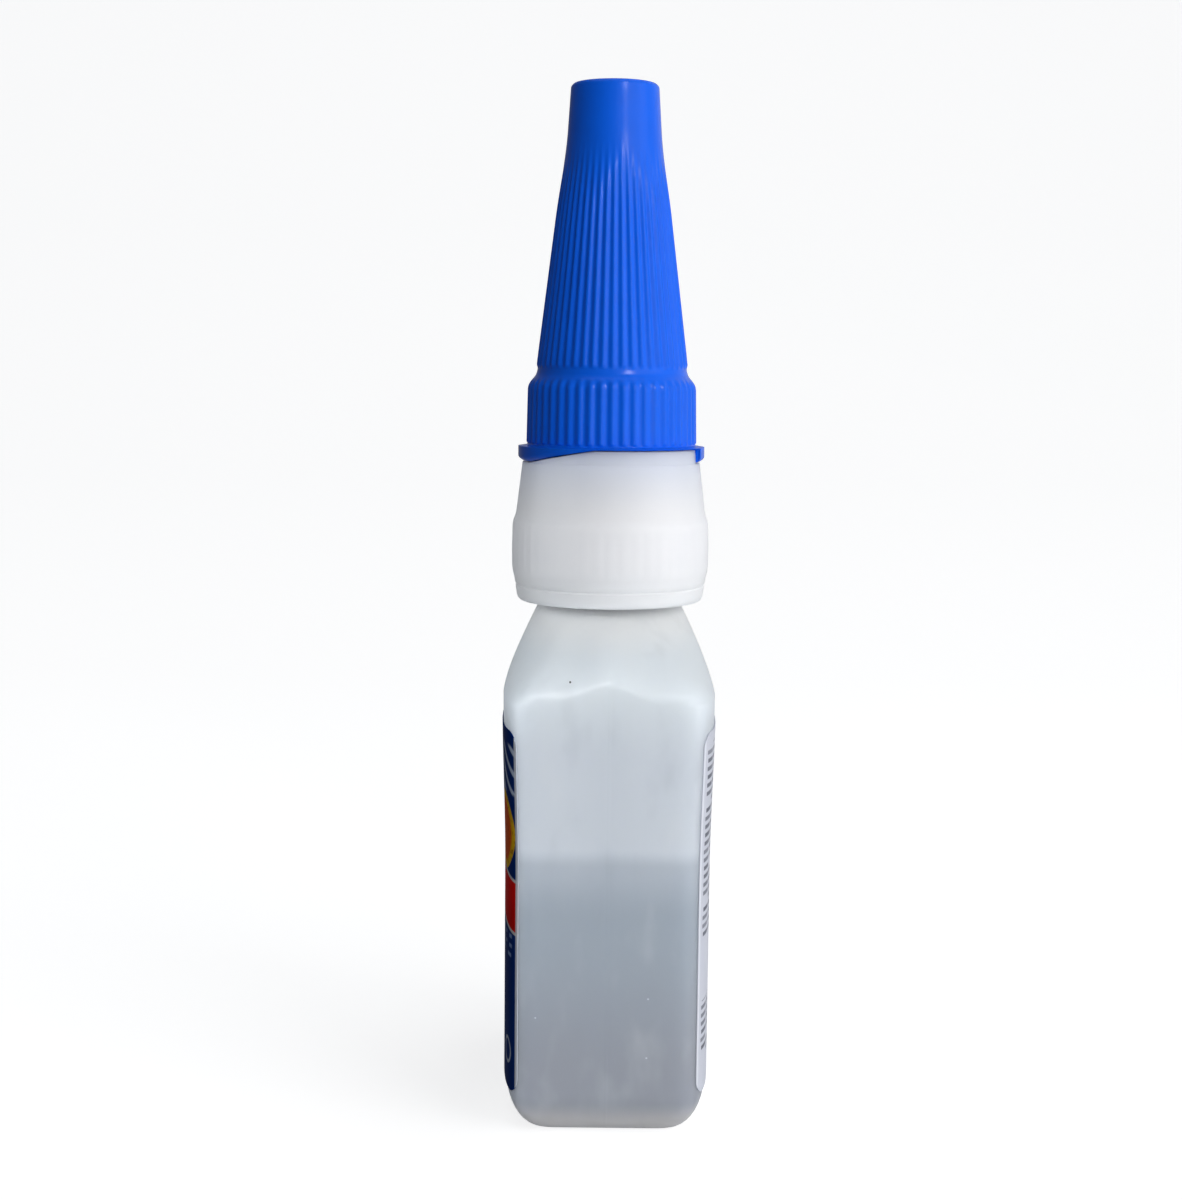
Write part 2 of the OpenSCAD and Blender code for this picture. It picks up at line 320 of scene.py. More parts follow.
def finished(bm, name, crease=36.0):
    """Closes the mesh, turns its faces outwards and returns its object, in metres."""
    bmesh.ops.remove_doubles(bm, verts=bm.verts[:], dist=0.0005)
    bmesh.ops.recalc_face_normals(bm, faces=bm.faces[:])
    loose = sum(not edge.is_manifold for edge in bm.edges)
    if loose:
        raise RuntimeError(f"{name} is not closed: {loose} open edges")
    bmesh.ops.scale(bm, vec=(MM, MM, MM), verts=bm.verts[:])
    mesh = bpy.data.meshes.new(name)
    bm.to_mesh(mesh)
    bm.free()
    mesh.shade_smooth()
    mesh.set_sharp_from_angle(angle=math.radians(crease))
    piece = bpy.data.objects.new(name, mesh)
    bpy.context.scene.collection.objects.link(piece)
    return piece


def fit(piece, body, nodes, material):
    """Dresses a piece and ties it to its CAD body, nodes and material slot."""
    piece.data.materials.clear()
    piece.data.materials.append(material)
    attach(piece, body)
    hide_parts(*nodes)


# ---- Shader maths ----


class Wire:
    """A shader value that can be used in Python sums."""

    def __init__(self, board, socket):
        self.board = board
        self.socket = socket

    def sum(self, operation, a, b):
        return self.board.node("ShaderNodeMath", {"operation": operation}, {0: a, 1: b})

    def __add__(self, other):
        return self.sum("ADD", self, other)

    def __radd__(self, other):
        return self.sum("ADD", other, self)

    def __sub__(self, other):
        return self.sum("SUBTRACT", self, other)

    def __rsub__(self, other):
        return self.sum("SUBTRACT", other, self)

    def __mul__(self, other):
        return self.sum("MULTIPLY", self, other)

    def __rmul__(self, other):
        return self.sum("MULTIPLY", other, self)

    def __truediv__(self, other):
        return self.sum("DIVIDE", self, other)

    def __abs__(self):
        return self.sum("ABSOLUTE", self, 0.0)


class Board:
    """The node table of one material."""

    def __init__(self, name):
        self.material = bpy.data.materials.new(name)
        self.material.use_nodes = True
        self.nodes = self.material.node_tree.nodes
        self.links = self.material.node_tree.links
        self.nodes.clear()
        place = self.node("ShaderNodeTexCoord", {}, {}, "Object")
        self.place = self.node(
            "ShaderNodeVectorMath", {"operation": "SCALE"}, {0: place, "Scale": 1 / MM}
        )
        self.x = self.part(self.place, "X")
        self.y = self.part(self.place, "Y")
        self.z = self.part(self.place, "Z")

    def node(self, kind, settings, values, output=0):
        """Adds one node: its type, its settings, the values or links of its sockets, and its output."""
        node = self.nodes.new(kind)
        for key, value in settings.items():
            if key == "stops":
                ramp = node.color_ramp
                while len(ramp.elements) < len(value):
                    ramp.elements.new(0.5)
                for element, (position, colour) in zip(ramp.elements, value):
                    element.position = position
                    element.color = colour
            else:
                setattr(node, key, value)
        for key, value in values.items():
            if isinstance(value, Wire):
                self.links.new(value.socket, node.inputs[key])
            else:
                node.inputs[key].default_value = value
        return Wire(self, node.outputs[output])

    def part(self, vector, axis):
        return self.node("ShaderNodeSeparateXYZ", {}, {0: vector}, axis)

    def vector(self, x, y, z):
        return self.node("ShaderNodeCombineXYZ", {}, {0: x, 1: y, 2: z})

    def step(self, value, low, high):
        """0 at low, 1 at high and smooth between."""
        return self.node(
            "ShaderNodeMapRange",
            {"interpolation_type": "SMOOTHSTEP"},
            {0: value, 1: low, 2: high, 3: 0.0, 4: 1.0},
        )

    def band(self, value, low, high, soft):
        """1 between low and high, with soft edges."""
        return self.step(value, low, low + soft) * (1 - self.step(value, high - soft, high))

    def noise(self, size, detail=2.0, stretch=(1.0, 1.0, 1.0), seed=0.0):
        """Noise from 0 to 1 whose lumps are size millimetres across, times stretch on each axis."""
        place = self.node(
            "ShaderNodeMapping",
            {"vector_type": "POINT"},
            {
                "Vector": self.place,
                "Location": (seed, seed * 0.7, seed * 1.3),
                "Scale": tuple(1 / (size * part) for part in stretch),
            },
        )
        return self.node(
            "ShaderNodeTexNoise", {}, {"Vector": place, "Scale": 1.0, "Detail": detail, "Roughness": 0.5}
        )

    def whole(self, value):
        return self.node("ShaderNodeMath", {"operation": "FLOOR"}, {0: value})

    def rest(self, value):
        return self.node("ShaderNodeMath", {"operation": "FRACT"}, {0: value})

    def power(self, value, power):
        return self.node("ShaderNodeMath", {"operation": "POWER"}, {0: value, 1: power})

    def larger(self, a, b):
        return self.node("ShaderNodeMath", {"operation": "MAXIMUM"}, {0: a, 1: b})

    def spot(self, y, z, radius):
        """A round spot on the narrow face at +X."""
        reach = self.power(self.y - y, 2.0) + self.power(self.z - z, 2.0)
        near = self.step(reach, radius * radius, radius * radius * 0.3)
        return near * self.step(self.x, 8.0, 9.0)

    def mix(self, factor, a, b):
        """Colour a where factor is 0 and b where it is 1."""
        return self.node(
            "ShaderNodeMix",
            {"data_type": "RGBA"},
            {"Factor": factor, 6: opaque(a), 7: opaque(b)},
            2,
        )

    def bump(self, height, distance, strength=1.0, normal=None):
        """A bump of distance millimetres for a height from 0 to 1."""
        values = {"Height": height, "Distance": distance * MM, "Strength": strength}
        if normal:
            values["Normal"] = normal
        return self.node("ShaderNodeBump", {}, values, "Normal")

    def finish(self, values):
        """Adds the surface shader and returns the material."""
        surface = self.node("ShaderNodeBsdfPrincipled", {}, values)
        output = self.nodes.new("ShaderNodeOutputMaterial")
        self.links.new(surface.socket, output.inputs["Surface"])
        return self.material


def opaque(colour):
    if isinstance(colour, Wire):
        return colour
    return tuple(colour)[:3] + (1.0,)


# ---- Bottle ----


def section_radius(angle, half_width, half_depth, across, deep):
    """Distance from the axis to an oblong with crowned sides, at an angle in degrees."""
    c = abs(math.cos(math.radians(angle)))
    s = abs(math.sin(math.radians(angle)))
    high = min(half_width / max(c, 1e-9), half_depth / max(s, 1e-9))
    low = high * 0.7
    for _ in range(22):
        middle = (low + high) / 2
        reach = (middle * c / half_width) ** across + (middle * s / half_depth) ** deep
        if reach > 1:
            high = middle
        else:
            low = middle
    return (low + high) / 2


def face_depth(sizes, height):
    """Half the body's depth at a height."""
    rise = (height - SWELL_START) / (sizes.shoulder_start - SWELL_START)
    return sizes.depth / 2 + sizes.swell * ease(rise)


def arch_at(sizes, angle):
    """How far the shoulder's lower edge is raised at an angle. It arches on the narrow faces."""
    turn = abs(angle)
    if turn > 90:
        turn = 180 - turn
    if turn < ARCH_TURN:
        return sizes.arch * math.cos(math.pi * turn / ARCH_TURN)
    return -sizes.arch * (1 - ease((turn - ARCH_TURN) / 14))


def body_ring(sizes, height, inset=0.0, flat=None, shrink=1.0):
    """A ring of the body. It lies at another height where flat is given."""
    top = sizes.shoulder_start + sizes.shoulder_height
    up = clamp((height - sizes.shoulder_start) / sizes.shoulder_height)
    low = clamp(1 - height / 5)
    tuck = 3.2 * (1 - math.sqrt(1 - low * low))
    deep = blend(face_depth(sizes, min(height, sizes.shoulder_start)), 8.0, up**1.2) - tuck - inset
    known = {}

    def radius_at(angle):
        start = sizes.shoulder_start + 1.4 + arch_at(sizes, angle)
        side = clamp((height - start) / (top - start))
        wide = blend(sizes.width / 2, 8.0, side**1.45) - tuck - inset
        return section_radius(angle, wide, deep, blend(2.6, 2.0, up), 2 + 10 * (1 - up) ** 3)

    def ring(angle):
        key = round(abs(angle) if abs(angle) <= 90 else 180 - abs(angle), 3)
        if key not in known:
            known[key] = radius_at(key)
        radius = known[key] * shrink
        turn = math.radians(angle)
        return (radius * math.cos(turn), radius * math.sin(turn), height if flat is None else flat)

    return ring


def round_ring(radius, height):
    return lambda angle: (
        radius * math.cos(math.radians(angle)),
        radius * math.sin(math.radians(angle)),
        height,
    )


def body_heights(sizes, low):
    """Heights of the body's rings, closer together at the base and on the shoulder."""
    foot = [5 * (1 - math.cos(math.pi * step / 24)) for step in range(13)]
    side = [5 + (sizes.shoulder_start - 5) * step / 22 for step in range(1, 23)]
    slope = [sizes.shoulder_start + sizes.shoulder_height * step / 30 for step in range(1, 31)]
    return [height for height in foot + side + slope if height >= low]


def build_bottle(sizes):
    bm = bmesh.new()
    floor = FLOOR_RISE + sizes.wall
    top = BOTTLE_HIGH.z
    neck = sizes.neck_radius
    foot = sizes.shoulder_start + sizes.shoulder_height
    bore = 6.3
    outer = [body_ring(sizes, height) for height in body_heights(sizes, 0)]
    inner = [
        body_ring(sizes, max(height, floor + 0.4), sizes.wall)
        for height in reversed(body_heights(sizes, floor))
    ]
    base = [
        body_ring(sizes, 0, 0, FLOOR_RISE, 0.35),
        body_ring(sizes, 0, 0, FLOOR_RISE, 0.78),
        body_ring(sizes, 0, 0, 0.45, 0.83),
        body_ring(sizes, 0, 0, 0.08, 0.87),
        body_ring(sizes, 0, 0, 0.0, 0.9),
    ]
    rim = [
        round_ring(blend(8.0, neck, 0.6), foot + 0.3),
        round_ring(neck, foot + 0.8),
        round_ring(neck, foot + 3.9),
        round_ring(neck + 0.8, foot + 4.3),
        round_ring(neck + 0.8, foot + 4.7),
        round_ring(neck, foot + 5.9),
        round_ring(neck, top - 0.3),
        round_ring(neck - 0.1, top - 0.1),
        round_ring(neck - 0.3, top),
        round_ring(bore + 0.15, top),
        round_ring(bore, top - 0.15),
        round_ring(bore, foot + 0.8),
    ]
    ends = [
        body_ring(sizes, floor + 0.4, sizes.wall + 0.3, floor + 0.12),
        body_ring(sizes, floor + 0.4, sizes.wall + 1, floor),
        body_ring(sizes, floor + 0.4, sizes.wall + 1, floor, 0.4),
    ]
    stack_rings(bm, sizes.segments, base + outer + rim + inner + ends)
    return finished(bm, "squeeze_bottle")


def build_adhesive(sizes):
    """The liquid, with a surface that climbs a little at the wall."""
    bm = bmesh.new()
    floor = FLOOR_RISE + sizes.wall
    gap = sizes.wall + 0.05
    level = sizes.level
    heights = [height for height in body_heights(sizes, floor + 0.5) if height < level - 1]
    rings = [
        body_ring(sizes, floor + 0.4, gap + 1, floor + 0.05, 0.4),
        body_ring(sizes, floor + 0.4, gap + 1, floor + 0.05),
        body_ring(sizes, floor + 0.45, gap),
    ]
    rings += [body_ring(sizes, height, gap) for height in heights]
    rings += [
        body_ring(sizes, level, gap),
        body_ring(sizes, level, gap + 0.2, level - 0.25),
        body_ring(sizes, level, gap + 0.6, level - 0.42),
        body_ring(sizes, level, gap + 1.4, level - 0.5),
        body_ring(sizes, level, gap + 1.4, level - 0.5, 0.4),
    ]
    stack_rings(bm, 192, rings)
    return finished(bm, "adhesive_fill")


# ---- Labels ----


def build_label(bottle, sizes, name, side, half_width):
    """A film that follows the crowned face: side is -1 for the front and 1 for the back."""
    bm = bmesh.new()
    bmesh.ops.create_grid(bm, x_segments=64, y_segments=72, size=0.5)
    for vert in bm.verts:
        up = 0.5 - 0.5 * math.cos(math.pi * clamp(vert.co.y + 0.5))
        height = blend(sizes.low, sizes.high, up)
        edge = max(0.0, sizes.corner - min(height - sizes.low, sizes.high - height))
        half = half_width - sizes.corner + math.sqrt(max(0.0, sizes.corner**2 - edge**2))
        across = -side * half * math.sin(math.radians(150) * vert.co.x) / math.sin(math.radians(75))
        crown = (1 - (abs(across) / (bottle.width / 2)) ** 2.6) ** (1 / 12)
        vert.co = (across, side * (face_depth(bottle, height) * crown + LABEL_LIFT), height)
    bmesh.ops.recalc_face_normals(bm, faces=bm.faces[:])
    centre = Vector((0.0, side * bottle.depth / 2, (sizes.low + sizes.high) / 2))
    middle = min(bm.faces, key=lambda face: (face.calc_center_median() - centre).length)
    if middle.normal.y * side < 0:
        bmesh.ops.reverse_faces(bm, faces=bm.faces[:])
    skin = bm.faces[:]
    made = bmesh.ops.solidify(bm, geom=skin, thickness=sizes.thickness)
    deepest = min(abs(vert.co.y) for vert in bm.verts if abs(vert.co.x) < 1)
    if not made["geom"] or deepest > bottle.depth / 2 + LABEL_LIFT - 0.01:
        raise RuntimeError(f"{name} was thickened outwards")
    return finished(bm, name, 50.0)


# ---- Nozzle ----


def tooth(angle):
    """Share of the saw-tooth's height at an angle: low, then a ramp, then high up to a steep wall."""
    along = (angle - 71.25 + 720) % 180
    return clamp((along - 41) / 57)


def rib(angle, count):
    return 0.5 + 0.5 * math.cos(math.radians(angle * count))


def push_out(vert, distance):
    radius = math.hypot(vert.co.x, vert.co.y)
    vert.co.x *= (radius + distance) / radius
    vert.co.y *= (radius + distance) / radius


def build_nozzle(sizes, cap):
    bm = bmesh.new()
    foot = NOZZLE_LOW.z
    tip = NOZZLE_HIGH.z
    seat = foot + COLLAR_HEIGHT
    band = sizes.band_radius - 0.05
    boss = sizes.boss_radius
    boss_top = seat + 8.8
    neck_top = BOTTLE_HIGH.z
    outside = [
        (8.95, foot),
        (10.05, foot),
        (10.42, foot + 0.35),
        (10.62, foot + 1.62),
        (10.5, foot + 1.8),
        (10.66, foot + 1.98),
        (10.8, foot + 2.75),
        (band, foot + 3.5),
        (band + 0.02, foot + 6.0),
        (band - 0.05, foot + 8.9),
        (10.62, foot + 9.6),
        (sizes.seat_radius, seat),
        (9.78, seat),
        (8.56, seat),
        (8.5, seat - 0.45),
        (boss + 0.4, seat - 0.45),
        (boss, seat + 0.1),
        (boss, boss_top - 0.5),
        (boss - 0.5, boss_top),
        (4.7, boss_top + 0.2),
        (3.6, boss_top + 2.5),
        (1.9, tip - 2.2),
        (1.7, tip - 0.3),
        (1.4, tip),
        (sizes.hole_radius, tip),
    ]
    corners = {1: 0.3, 2: 0.35, 6: 0.4, 7: 0.6, 9: 0.6, 10: 0.7, 11: 0.15, 16: 0.3, 17: 0.4}
    corners.update({18: 0.4, 19: 0.8, 20: 1.5, 21: 0.5, 22: 0.2, 23: 0.2})
    inside = [
        (sizes.hole_radius, tip - 3),
        (0.9, tip - 8),
        (3.0, boss_top),
        (5.1, boss_top - 1.8),
        (5.1, neck_top - 5.5),
        (5.85, neck_top - 5.5),
        (6.25, neck_top - 5.1),
        (6.25, neck_top + 0.15),
        (8.9, neck_top + 0.15),
        (8.9, foot + 3.7),
        (7.72, foot + 3.2),
        (7.72, foot + 2.7),
        (8.9, foot + 2.3),
    ]
    line = dense(rounded(outside, corners), 1.5) + dense(inside, 6.0)
    spin_outline(bm, line, cap.ribs, 10, True)
    for vert in bm.verts:
        angle = angle_of(vert.co)
        radius = math.hypot(vert.co.x, vert.co.y)
        height = vert.co.z
        if radius > 10.7:
            grip = ease((height - foot - 2.9) / 1.2) * ease((foot + 9.3 - height) / 1.2)
            push_out(vert, sizes.rib_height * grip * rib(angle, cap.ribs))
        if 8.55 < radius < 9.8 and abs(height - seat) < 0.01:
            vert.co.z = seat - 0.1 + (cap.tooth_height + 0.1) * tooth(angle + 0.6)
    outline = [
        (boss - 0.3, seat + 0.6),
        (sizes.thread_radius, seat + 1.1),
        (sizes.thread_radius, seat + 2.1),
        (boss - 0.3, seat + 2.6),
    ]
    for start in (20, 200):
        add_thread(bm, outline, boss - 0.3, start, 150, cap.lead)
    return finished(bm, "nozzle_moulding")


# ---- Cap ----


def build_cap(sizes):
    bm = bmesh.new()
    seat = CAP_LOW.z - 0.12
    top = CAP_HIGH.z
    rim = CAP_LOW.z
    tip = NOZZLE_HIGH.z
    flange = sizes.flange_radius
    skirt = sizes.skirt_radius
    cone = sizes.cone_radius
    crown = sizes.top_radius
    skirt_top = seat + 9.2
    rib_end = top - 6.4
    socket = [
        (0.0, tip + 5.7),
        (3.2, tip + 5.7),
        (3.2, tip + 0.9),
        (2.9, tip + 0.6),
        (2.9, tip + 0.2),
        (3.2, tip - 0.3),
        (3.9, tip - 0.7),
        (6.95, seat + 10.2),
        (8.05, seat + 9.2),
        (8.05, rim),
    ]
    outside = [
        (flange - 0.6, rim),
        (flange - 0.45, rim + 0.06),
        (flange - 0.12, rim + 0.3),
        (flange, rim + 0.5),
        (flange, seat + 1.75),
        (skirt + 0.12, seat + 1.9),
        (skirt, seat + 2.15),
        (skirt - 0.12, skirt_top - 1),
        (skirt - 0.38, skirt_top - 0.15),
        (cone + 0.15, skirt_top + 0.35),
        (cone, skirt_top + 0.8),
        (cone - 0.1, skirt_top + 1.3),
        (crown + 0.74, rib_end - 3),
        (crown + 0.42, rib_end),
        (crown + 0.34, rib_end + 0.8),
        (crown, top - 0.35),
        (crown - 0.32, top),
        (3.7, top),
        (3.3, top - 0.3),
        (0.9, top - 0.34),
        (0.7, top - 0.14),
        (0.0, top - 0.14),
    ]
    corners = {5: 0.15, 6: 0.2, 7: 0.3, 8: 0.5, 9: 0.4, 10: 0.4, 11: 0.3, 13: 0.6, 14: 0.5}
    corners.update({15: 0.15, 16: 0.15, 17: 0.2, 18: 0.2, 19: 0.1, 20: 0.1})
    line = dense(socket, 8.0) + dense(rounded(outside, corners), 1.2)
    spin_outline(bm, line, sizes.ribs, 10, False)
    for vert in bm.verts:
        angle = angle_of(vert.co)
        radius = math.hypot(vert.co.x, vert.co.y)
        height = vert.co.z
        if radius < 0.05:
            continue
        if height < seat + 1.72 and radius > 8:
            high = tooth(angle)
            if height < rim + 0.4:
                if 9 < radius < flange:
                    push_out(vert, (flange - 0.05 - radius) * high * clamp(1.0 - (height - rim) * 2))
                vert.co.z = min(height + sizes.tooth_height * high, seat + 1.65)
            elif height < rim + 0.55:
                vert.co.z = max(height, min(height + sizes.tooth_height * high, seat + 1.7))
            else:
                vert.co.z = max(height, blend(height, seat + 1.73, high))
            continue
        outer_wall = radius > blend(cone, crown, (height - skirt_top) / (top - skirt_top)) - 0.3
        if height < skirt_top:
            grip = ease((height - seat - 1.95) / 0.3) * ease((skirt_top + 0.2 - height) / 1.0)
            outer_wall = radius > 8.4
        else:
            grip = ease((height - skirt_top - 1.0) / 0.7) * ease((rib_end - height) / 8.0)
        if outer_wall and grip > 0:
            push_out(vert, sizes.rib_height * grip * rib(angle, sizes.ribs))
    outline = [
        (8.35, seat + 2.2),
        (8.35, seat + 4.2),
        (7.15, seat + 3.7),
        (7.15, seat + 2.7),
    ]
    for start in (122, 302):
        add_thread(bm, outline, 8.35, start, 100, sizes.lead)
    return finished(bm, "ribbed_cap")


# ---- Finishes ----


def bottle_finish(looks, sizes):
    """Natural polyethylene: pale where it is empty and grey-blue below the adhesive's level, with painted
    light on the shoulder and neck and a painted shade down the middle of each narrow face.
    """
    board = Board("bottle_plastic")
    cloud = board.noise(9.0, 3.0)
    haze = board.noise(3.0, 2.0, (1.0, 1.0, 2.5), 4.0)
    grain = board.noise(0.35, 2.0)
    start = sizes.shoulder_start
    # Painted light: the wall is painted lighter up the shoulder and near white at the neck, where the
    # collar would shade it.
    upper = board.mix(board.step(board.z, start - 6, start + 4), looks.clear, looks.shoulder)
    upper = board.mix(board.step(board.z, start + 4, start + 8.5), upper, (0.95, 0.97, 1.0))
    sunk = board.mix(board.step(board.z, 24.0, 6.0), looks.filled, looks.deep)
    sunk = board.mix(board.step(board.z, 4.0, 0.5), sunk, (0.66, 0.64, 0.65))
    surface = board.z + (cloud - 0.5) * 0.8
    wet = board.step(surface, sizes.level + 0.9, sizes.level - 1.3) * 0.6
    wet = wet + board.step(surface, sizes.level - 0.5, sizes.level - 7.0) * 0.4
    colour = board.mix(wet, upper, sunk)
    # Painted shade: a darker band is painted down the middle of each narrow face, below the shoulder.
    middle = (1 - board.step(abs(board.y), 0.5, 5.0)) * board.step(board.z, 50.0, 42.0)
    colour = board.mix(middle * 0.08, colour, (0.30, 0.34, 0.40))
    veil = (cloud - 0.5) * 0.5 + (haze - 0.5) * 0.5
    colour = board.mix(board.step(veil, 0.0, 0.25) * 0.16, colour, (0.80, 0.84, 0.90))
    colour = board.mix(board.step(veil, 0.0, -0.25) * 0.16, colour, (0.24, 0.27, 0.33))
    fleck = board.spot(-4.2, 49.3, 0.13)
    glint = board.larger(board.spot(4.4, 15.4, 0.13), board.spot(-7.6, 13.2, 0.12))
    glint = board.larger(glint, board.spot(4.3, 8.9, 0.13))
    colour = board.mix(glint * 0.5, colour, (0.8, 0.85, 0.9))
    colour = board.mix(fleck, colour, (0.03, 0.035, 0.05))
    seam = 1 - board.step(abs(board.y), 0.06, 0.22)
    wave = board.noise(6.0, 1.0, (1.0, 1.0, 1.6), 9.0)
    height = wave * 0.5 + haze * 0.25 + grain * 0.03
    relief = board.bump(height, 0.16, 0.6)
    relief = board.bump(seam, 0.02, 0.3, relief)
    return board.finish(
        {
            "Base Color": colour,
            "Roughness": looks.satin - 0.05 + haze * 0.1,
            "IOR": 1.5,
            "Subsurface Weight": 0.6,
            "Subsurface Radius": (1.0, 1.0, 1.1),
            "Subsurface Scale": 6.0 * MM,
            "Normal": relief,
        }
    )


def nozzle_finish(looks):
    """Milky moulding with faint streaks of flow, and painted shade at the top of the collar under the cap.
    """
    board = Board("nozzle_plastic")
    cloud = board.noise(7.0, 3.0)
    streak = board.noise(0.5, 2.0, (1.0, 1.0, 40.0))
    ring = board.noise(0.4, 2.0, (40.0, 40.0, 1.0), 3.0)
    grain = board.noise(0.2, 1.0)
    low = NOZZLE_LOW.z
    warm = board.mix(board.step(board.z, low + 7, low) * 0.5, looks.milky, (0.80, 0.82, 0.80))
    # Painted shade: the top of the collar is painted darker and bluer where the cap's flange shades it.
    under_cap_shade = board.mix(board.step(board.z, low + 9.5, low + 17), warm, (0.66, 0.71, 0.85))
    colour = board.mix(board.step(cloud, 0.35, 0.75) * 0.2, under_cap_shade, (0.74, 0.76, 0.83))
    relief = board.bump(streak * 0.5 + ring * 0.3 + grain * 0.2, 0.03, 0.5)
    return board.finish(
        {
            "Base Color": colour,
            "Roughness": 0.36 + (cloud - 0.5) * 0.1,
            "IOR": 1.5,
            "Subsurface Weight": 0.6,
            "Subsurface Radius": (1.0, 1.0, 1.0),
            "Subsurface Scale": 5.0 * MM,
            "Normal": relief,
        }
    )


def cap_finish(looks):
    """Deep blue gloss with fine draw marks along the cone."""
    board = Board("cap_plastic")
    cloud = board.noise(5.0, 3.0)
    streak = board.noise(0.25, 2.0, (1.0, 1.0, 60.0))
    grain = board.noise(0.12, 1.0, (1.0, 1.0, 1.0), 2.0)
    colour = board.mix(board.step(cloud, 0.3, 0.8) * 0.35, looks.blue, (0.002, 0.095, 0.67))
    relief = board.bump(streak * 0.7 + grain * 0.3, 0.02, 0.5)
    return board.finish(
        {
            "Base Color": colour,
            "Roughness": looks.gloss - 0.04 + cloud * 0.08,
            "Specular IOR Level": 0.17,
            "Normal": relief,
        }
    )


def pale_edge(board, half_width):
    """1 along the outer edge of a label, where a pale line is drawn."""
    side = half_width - abs(board.x)
    return 1 - board.step(side, 0.22, 0.4)


def front_finish(looks, sizes):
    """Printed film: navy ground, chevrons, a rimmed disc, a rimmed band, dashes and a ring."""
    board = Board("front_print")
    x = board.x
    z = board.z
    cloud = board.noise(4.0, 3.0)
    fine = board.noise(0.5, 2.0)
    colour = board.mix(board.step(cloud, 0.4, 0.8) * 0.4, looks.navy, (0.002, 0.03, 0.19))
    zigzag = board.rest((abs(x) + z * 1.4) / 3.2)
    chevron = board.band(zigzag, 0.12, 0.5, 0.1) * board.band(z, 36.8, 42.6, 0.5)
    colour = board.mix(chevron * 0.9, colour, (0.55, 0.64, 0.80))
    disc = board.power((x - 11.9) / 4.5, 2.0) + board.power((z - 32.6) / 4.3, 2.0)
    sun = board.mix(board.step(disc, 0.5, 0.8), looks.orange, looks.yellow)
    sun = board.mix(board.band(fine, 0.56, 1.2, 0.1) * 0.6, sun, (0.30, 0.05, 0.01))
    colour = board.mix(board.step(disc, 1.03, 0.97), colour, sun)
    bow = board.power(x / 15.6, 2.0) * 1.3
    middle = z - 26.3 + bow
    rim = board.band(middle, -3.1, 3.1, 0.12)
    core = board.band(middle, -2.75, 2.75, 0.12)
    colour = board.mix(rim, colour, (0.62, 0.58, 0.58))
    red = board.mix(board.step(cloud, 0.35, 0.75) * 0.5, looks.red, (0.45, 0.003, 0.002))
    colour = board.mix(core, colour, red)
    row = board.whole(z / 1.05)
    cell = board.whole(x / 0.7)
    chance = board.node(
        "ShaderNodeTexWhiteNoise", {"noise_dimensions": "2D"}, {"Vector": board.vector(cell, row, 0.0)}
    )
    dash = board.band(board.rest(z / 1.05), 0.2, 0.75, 0.15) * board.step(chance, 0.3, 0.32)
    dash = dash * board.band(z, 18.8, 22.0, 0.1) * board.step(abs(x), 15.8, 15.4)
    colour = board.mix(dash * 0.7, colour, (0.30, 0.42, 0.70))
    across = board.power(x - 14.0, 2.0) + board.power(z - 8.6, 2.0)
    ring = board.band(across, 1.2, 2.4, 0.3)
    colour = board.mix(ring * 0.8, colour, (0.6, 0.66, 0.75))
    # A pale line is drawn along the label's outer edge.
    colour = board.mix(pale_edge(board, sizes.front_half) * 0.9, colour, (0.74, 0.77, 0.83))
    relief = board.bump(board.noise(1.4, 2.0, (1.0, 1.0, 1.0), 6.0), 0.04, 0.4)
    return board.finish(
        {
            "Base Color": colour,
            "Roughness": 0.40 + fine * 0.12,
            "Specular IOR Level": 0.005,
            "Normal": relief,
        }
    )


def back_finish(looks, sizes):
    """Pale film with rows of plain dashes of uneven length and a blank foot."""
    board = Board("back_print")
    x = board.x
    z = board.z
    cloud = board.noise(4.0, 3.0)
    colour = board.mix(board.step(cloud, 0.3, 0.8) * 0.5, looks.paper, (0.51, 0.53, 0.61))
    line = z / sizes.row_pitch
    row = board.whole(line)
    cell = board.whole((x - 15.9) / 2.65)
    word = board.node(
        "ShaderNodeTexWhiteNoise", {"noise_dimensions": "2D"}, {"Vector": board.vector(cell, row, 0.0)}
    )
    gap = board.rest((x - 15.9) / 2.65 + (word - 0.5) * 0.12)
    dash = board.band(board.rest(line), 0.1, 0.74, 0.14) * board.band(gap, 0.04, 0.95, 0.06)
    dash = dash * board.step(word, 0.1, 0.12)
    block = board.larger(board.band(z, 21.6, 42.7, 0.1), board.band(z, 8.4, 14.7, 0.1))
    dash = dash * block * board.step(abs(x), 15.85, 15.75)
    colour = board.mix(dash * (0.65 + word * 0.3), colour, looks.ink)
    # A pale line is drawn along the label's outer edge.
    colour = board.mix(pale_edge(board, sizes.back_half) * 0.4, colour, (0.82, 0.84, 0.88))
    relief = board.bump(board.noise(1.4, 2.0, (1.0, 1.0, 1.0), 6.0), 0.04, 0.4)
    return board.finish(
        {
            "Base Color": colour,
            "Roughness": 0.36 + cloud * 0.1,
            "Specular IOR Level": 0.2,
            "Normal": relief,
        }
    )


def adhesive_finish():
    """Clear thin liquid, seen grey-blue in depth."""
    board = Board("adhesive")
    cloud = board.noise(6.0, 2.0)
    colour = board.mix(cloud, (0.50, 0.56, 0.62), (0.58, 0.64, 0.70))
    return board.finish({"Base Color": colour, "Roughness": 0.06 + cloud * 0.03, "IOR": 1.45})


